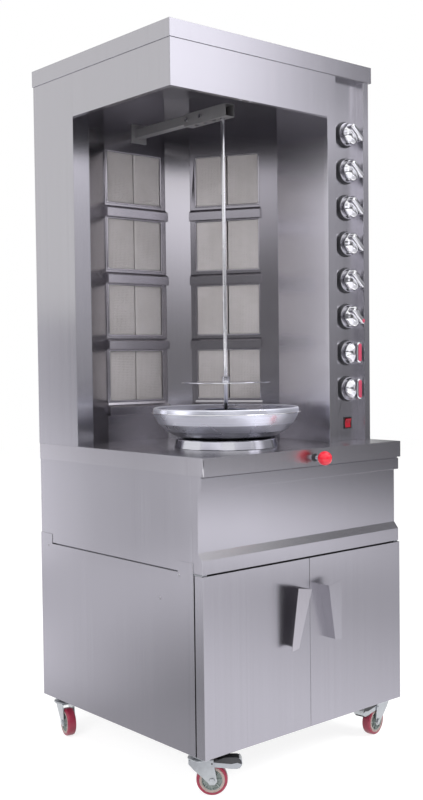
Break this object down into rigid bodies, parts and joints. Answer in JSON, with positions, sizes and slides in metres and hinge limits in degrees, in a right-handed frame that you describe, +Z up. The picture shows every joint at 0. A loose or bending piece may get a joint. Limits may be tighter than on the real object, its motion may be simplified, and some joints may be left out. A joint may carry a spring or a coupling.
{
  "type": "gas doner kebab grill",
  "caption": "Free-standing vertical gas grill with an upright spit, two banks of ceramic burners, a sliding spit drive, a two-door stand and swivel casters.",
  "frame": {"origin": "on the floor, under the middle of the object's bounding box", "axes": "+X to the right as seen from the front, +Y to the back, +Z up; the doors and knobs face -Y"},
  "size_m": [0.705, 0.806, 1.817],
  "materials": {
    "casing_steel": "fine vertical brushing, satin",
    "polished_steel": "bright polish",
    "ceramic": "matt pierced ceramic",
    "gas_brass": "plain turned",
    "motor_paint": "satin grey",
    "black_plastic": "satin moulded",
    "red_plastic": "glossy moulded",
    "zinc": "bright zinc plate",
    "pedal_plastic": "moulded",
    "wheel_red": "smooth polyurethane"
  },
  "bodies": {
    "casing": {"stand_shell": "casing_steel", "stand_floor": "casing_steel", "door_hinges": "casing_steel", "unit_shell": "casing_steel", "front_apron": "casing_steel", "worktop": "casing_steel", "guide_rails": "casing_steel", "tower_left_panel": "casing_steel", "tower_right_panel": "casing_steel", "tower_back_panel": "casing_steel", "canopy": "casing_steel", "roof_cap": "casing_steel", "corner_liner": "casing_steel", "burner_panel_left": "casing_steel", "centre_column": "casing_steel", "burner_panel_right": "casing_steel", "control_column": "casing_steel", "burner_boxes": "casing_steel", "ceramic_plates": "ceramic", "gas_pipework": "gas_brass", "gas_inlet": "gas_brass", "gas_valves": "gas_brass", "knob_bezels": "black_plastic", "switch_bezel": "black_plastic", "rod_grommet": "black_plastic", "bracket_rail": "casing_steel", "cable_gland": "black_plastic"},
    "left_door": {"left_door": "casing_steel", "left_handle": "casing_steel"},
    "right_door": {"right_door": "casing_steel", "right_handle": "casing_steel"},
    "carriage": {"carriage_plate": "casing_steel", "gear_motor": "motor_paint", "base_ring": "polished_steel", "pull_rod": "polished_steel", "ball_knob": "red_plastic"},
    "drive": {"drive_shaft": "polished_steel"},
    "spit": {"spit_rod": "polished_steel"},
    "disc": {"meat_disc": "polished_steel"},
    "pan": {"drip_pan": "polished_steel"},
    "channel": {"bracket_channel": "casing_steel"},
    "tap_1": {"knob_1": "polished_steel"},
    "tap_2": {"knob_2": "polished_steel"},
    "tap_3": {"knob_3": "polished_steel"},
    "tap_4": {"knob_4": "polished_steel"},
    "tap_5": {"knob_5": "polished_steel"},
    "tap_6": {"knob_6": "polished_steel"},
    "tap_7": {"knob_7": "polished_steel"},
    "tap_8": {"knob_8": "polished_steel"},
    "rocker": {"rocker_switch": "red_plastic"},
    "swivel_front_left": {"caster_fork_front_left": "zinc"},
    "wheel_front_left": {"caster_wheel_front_left": "wheel_red"},
    "pedal_front_left": {"caster_pedal_front_left": "pedal_plastic"},
    "swivel_front_right": {"caster_fork_front_right": "zinc"},
    "wheel_front_right": {"caster_wheel_front_right": "wheel_red"},
    "pedal_front_right": {"caster_pedal_front_right": "pedal_plastic"},
    "swivel_back_left": {"caster_fork_back_left": "zinc"},
    "wheel_back_left": {"caster_wheel_back_left": "wheel_red"},
    "swivel_back_right": {"caster_fork_back_right": "zinc"},
    "wheel_back_right": {"caster_wheel_back_right": "wheel_red"}
  },
  "joints": [
    {"name": "left_door_hinge", "type": "hinge", "parent": "casing", "child": "left_door", "pos_m": [-0.341, -0.33, 0.3], "axis": [0, 0, -1], "range_deg": [0, 110]},
    {"name": "right_door_hinge", "type": "hinge", "parent": "casing", "child": "right_door", "pos_m": [0.341, -0.33, 0.3], "axis": [0, 0, 1], "range_deg": [0, 110]},
    {"name": "carriage_slide", "type": "slide", "parent": "casing", "child": "carriage", "axis": [0, -1, 0], "range_m": [0, 0.055]},
    {"name": "channel_slide", "type": "slide", "parent": "casing", "child": "channel", "axis": [0, -1, 0], "range_m": [0, 0.055]},
    {"name": "drive_spin", "type": "hinge", "parent": "carriage", "child": "drive", "pos_m": [-0.085, -0.131, 0.83], "axis": [0, 0, 1], "continuous": true},
    {"name": "spit_lift", "type": "slide", "parent": "drive", "child": "spit", "axis": [0, 0, 1], "range_m": [0, 0.02]},
    {"name": "disc_height", "type": "slide", "parent": "spit", "child": "disc", "axis": [0, 0, 1], "range_m": [0, 0.2]},
    {"name": "pan_lift", "type": "slide", "parent": "carriage", "child": "pan", "axis": [0, 0, 1], "range_m": [0, 0.04]},
    {"name": "tap_1_turn", "type": "hinge", "parent": "casing", "child": "tap_1", "pos_m": [0.274, -0.235, 1.6298], "axis": [0, -1, 0], "range_deg": [0, 180]},
    {"name": "tap_2_turn", "type": "hinge", "parent": "casing", "child": "tap_2", "pos_m": [0.274, -0.235, 1.53147], "axis": [0, -1, 0], "range_deg": [0, 180]},
    {"name": "tap_3_turn", "type": "hinge", "parent": "casing", "child": "tap_3", "pos_m": [0.274, -0.235, 1.43314], "axis": [0, -1, 0], "range_deg": [0, 180]},
    {"name": "tap_4_turn", "type": "hinge", "parent": "casing", "child": "tap_4", "pos_m": [0.274, -0.235, 1.33481], "axis": [0, -1, 0], "range_deg": [0, 180]},
    {"name": "tap_5_turn", "type": "hinge", "parent": "casing", "child": "tap_5", "pos_m": [0.274, -0.235, 1.23648], "axis": [0, -1, 0], "range_deg": [0, 180]},
    {"name": "tap_6_turn", "type": "hinge", "parent": "casing", "child": "tap_6", "pos_m": [0.274, -0.235, 1.13815], "axis": [0, -1, 0], "range_deg": [0, 180]},
    {"name": "tap_7_turn", "type": "hinge", "parent": "casing", "child": "tap_7", "pos_m": [0.274, -0.235, 1.03982], "axis": [0, -1, 0], "range_deg": [0, 180]},
    {"name": "tap_8_turn", "type": "hinge", "parent": "casing", "child": "tap_8", "pos_m": [0.274, -0.235, 0.94149], "axis": [0, -1, 0], "range_deg": [0, 180]},
    {"name": "rocker_tilt", "type": "hinge", "parent": "casing", "child": "rocker", "pos_m": [0.277, -0.2215, 0.8482], "axis": [-1, 0, 0], "range_deg": [0, 16]},
    {"name": "swivel_front_left", "type": "hinge", "parent": "casing", "child": "swivel_front_left", "pos_m": [-0.32, -0.29, 0.095], "axis": [0, 0, 1], "continuous": true},
    {"name": "roll_front_left", "type": "hinge", "parent": "swivel_front_left", "child": "wheel_front_left", "pos_m": [-0.29877, -0.30826, 0.0375], "axis": [0.6521, 0.7581, 0], "continuous": true},
    {"name": "brake_front_left", "type": "hinge", "parent": "swivel_front_left", "child": "pedal_front_left", "pos_m": [-0.29877, -0.30826, 0.078], "axis": [0.6521, 0.7581, 0], "range_deg": [0, 10]},
    {"name": "swivel_front_right", "type": "hinge", "parent": "casing", "child": "swivel_front_right", "pos_m": [0.32, -0.29, 0.095], "axis": [0, 0, 1], "continuous": true},
    {"name": "roll_front_right", "type": "hinge", "parent": "swivel_front_right", "child": "wheel_front_right", "pos_m": [0.29235, -0.29438, 0.0375], "axis": [0.1564, -0.9877, 0], "continuous": true},
    {"name": "brake_front_right", "type": "hinge", "parent": "swivel_front_right", "child": "pedal_front_right", "pos_m": [0.29235, -0.29438, 0.078], "axis": [0.1564, -0.9877, 0], "range_deg": [0, 10]},
    {"name": "swivel_back_left", "type": "hinge", "parent": "casing", "child": "swivel_back_left", "pos_m": [-0.32, 0.29, 0.095], "axis": [0, 0, 1], "continuous": true},
    {"name": "roll_back_left", "type": "hinge", "parent": "swivel_back_left", "child": "wheel_back_left", "pos_m": [-0.32734, 0.26298, 0.0375], "axis": [0.965, -0.2622, 0], "continuous": true},
    {"name": "swivel_back_right", "type": "hinge", "parent": "casing", "child": "swivel_back_right", "pos_m": [0.32, 0.29, 0.095], "axis": [0, 0, 1], "continuous": true},
    {"name": "roll_back_right", "type": "hinge", "parent": "swivel_back_right", "child": "wheel_back_right", "pos_m": [0.306, 0.26575, 0.0375], "axis": [0.866, -0.5, 0], "continuous": true}
  ],
  "couplings": [
    {"joint": "channel_slide", "follows": "carriage_slide", "ratio": 1}
  ]
}
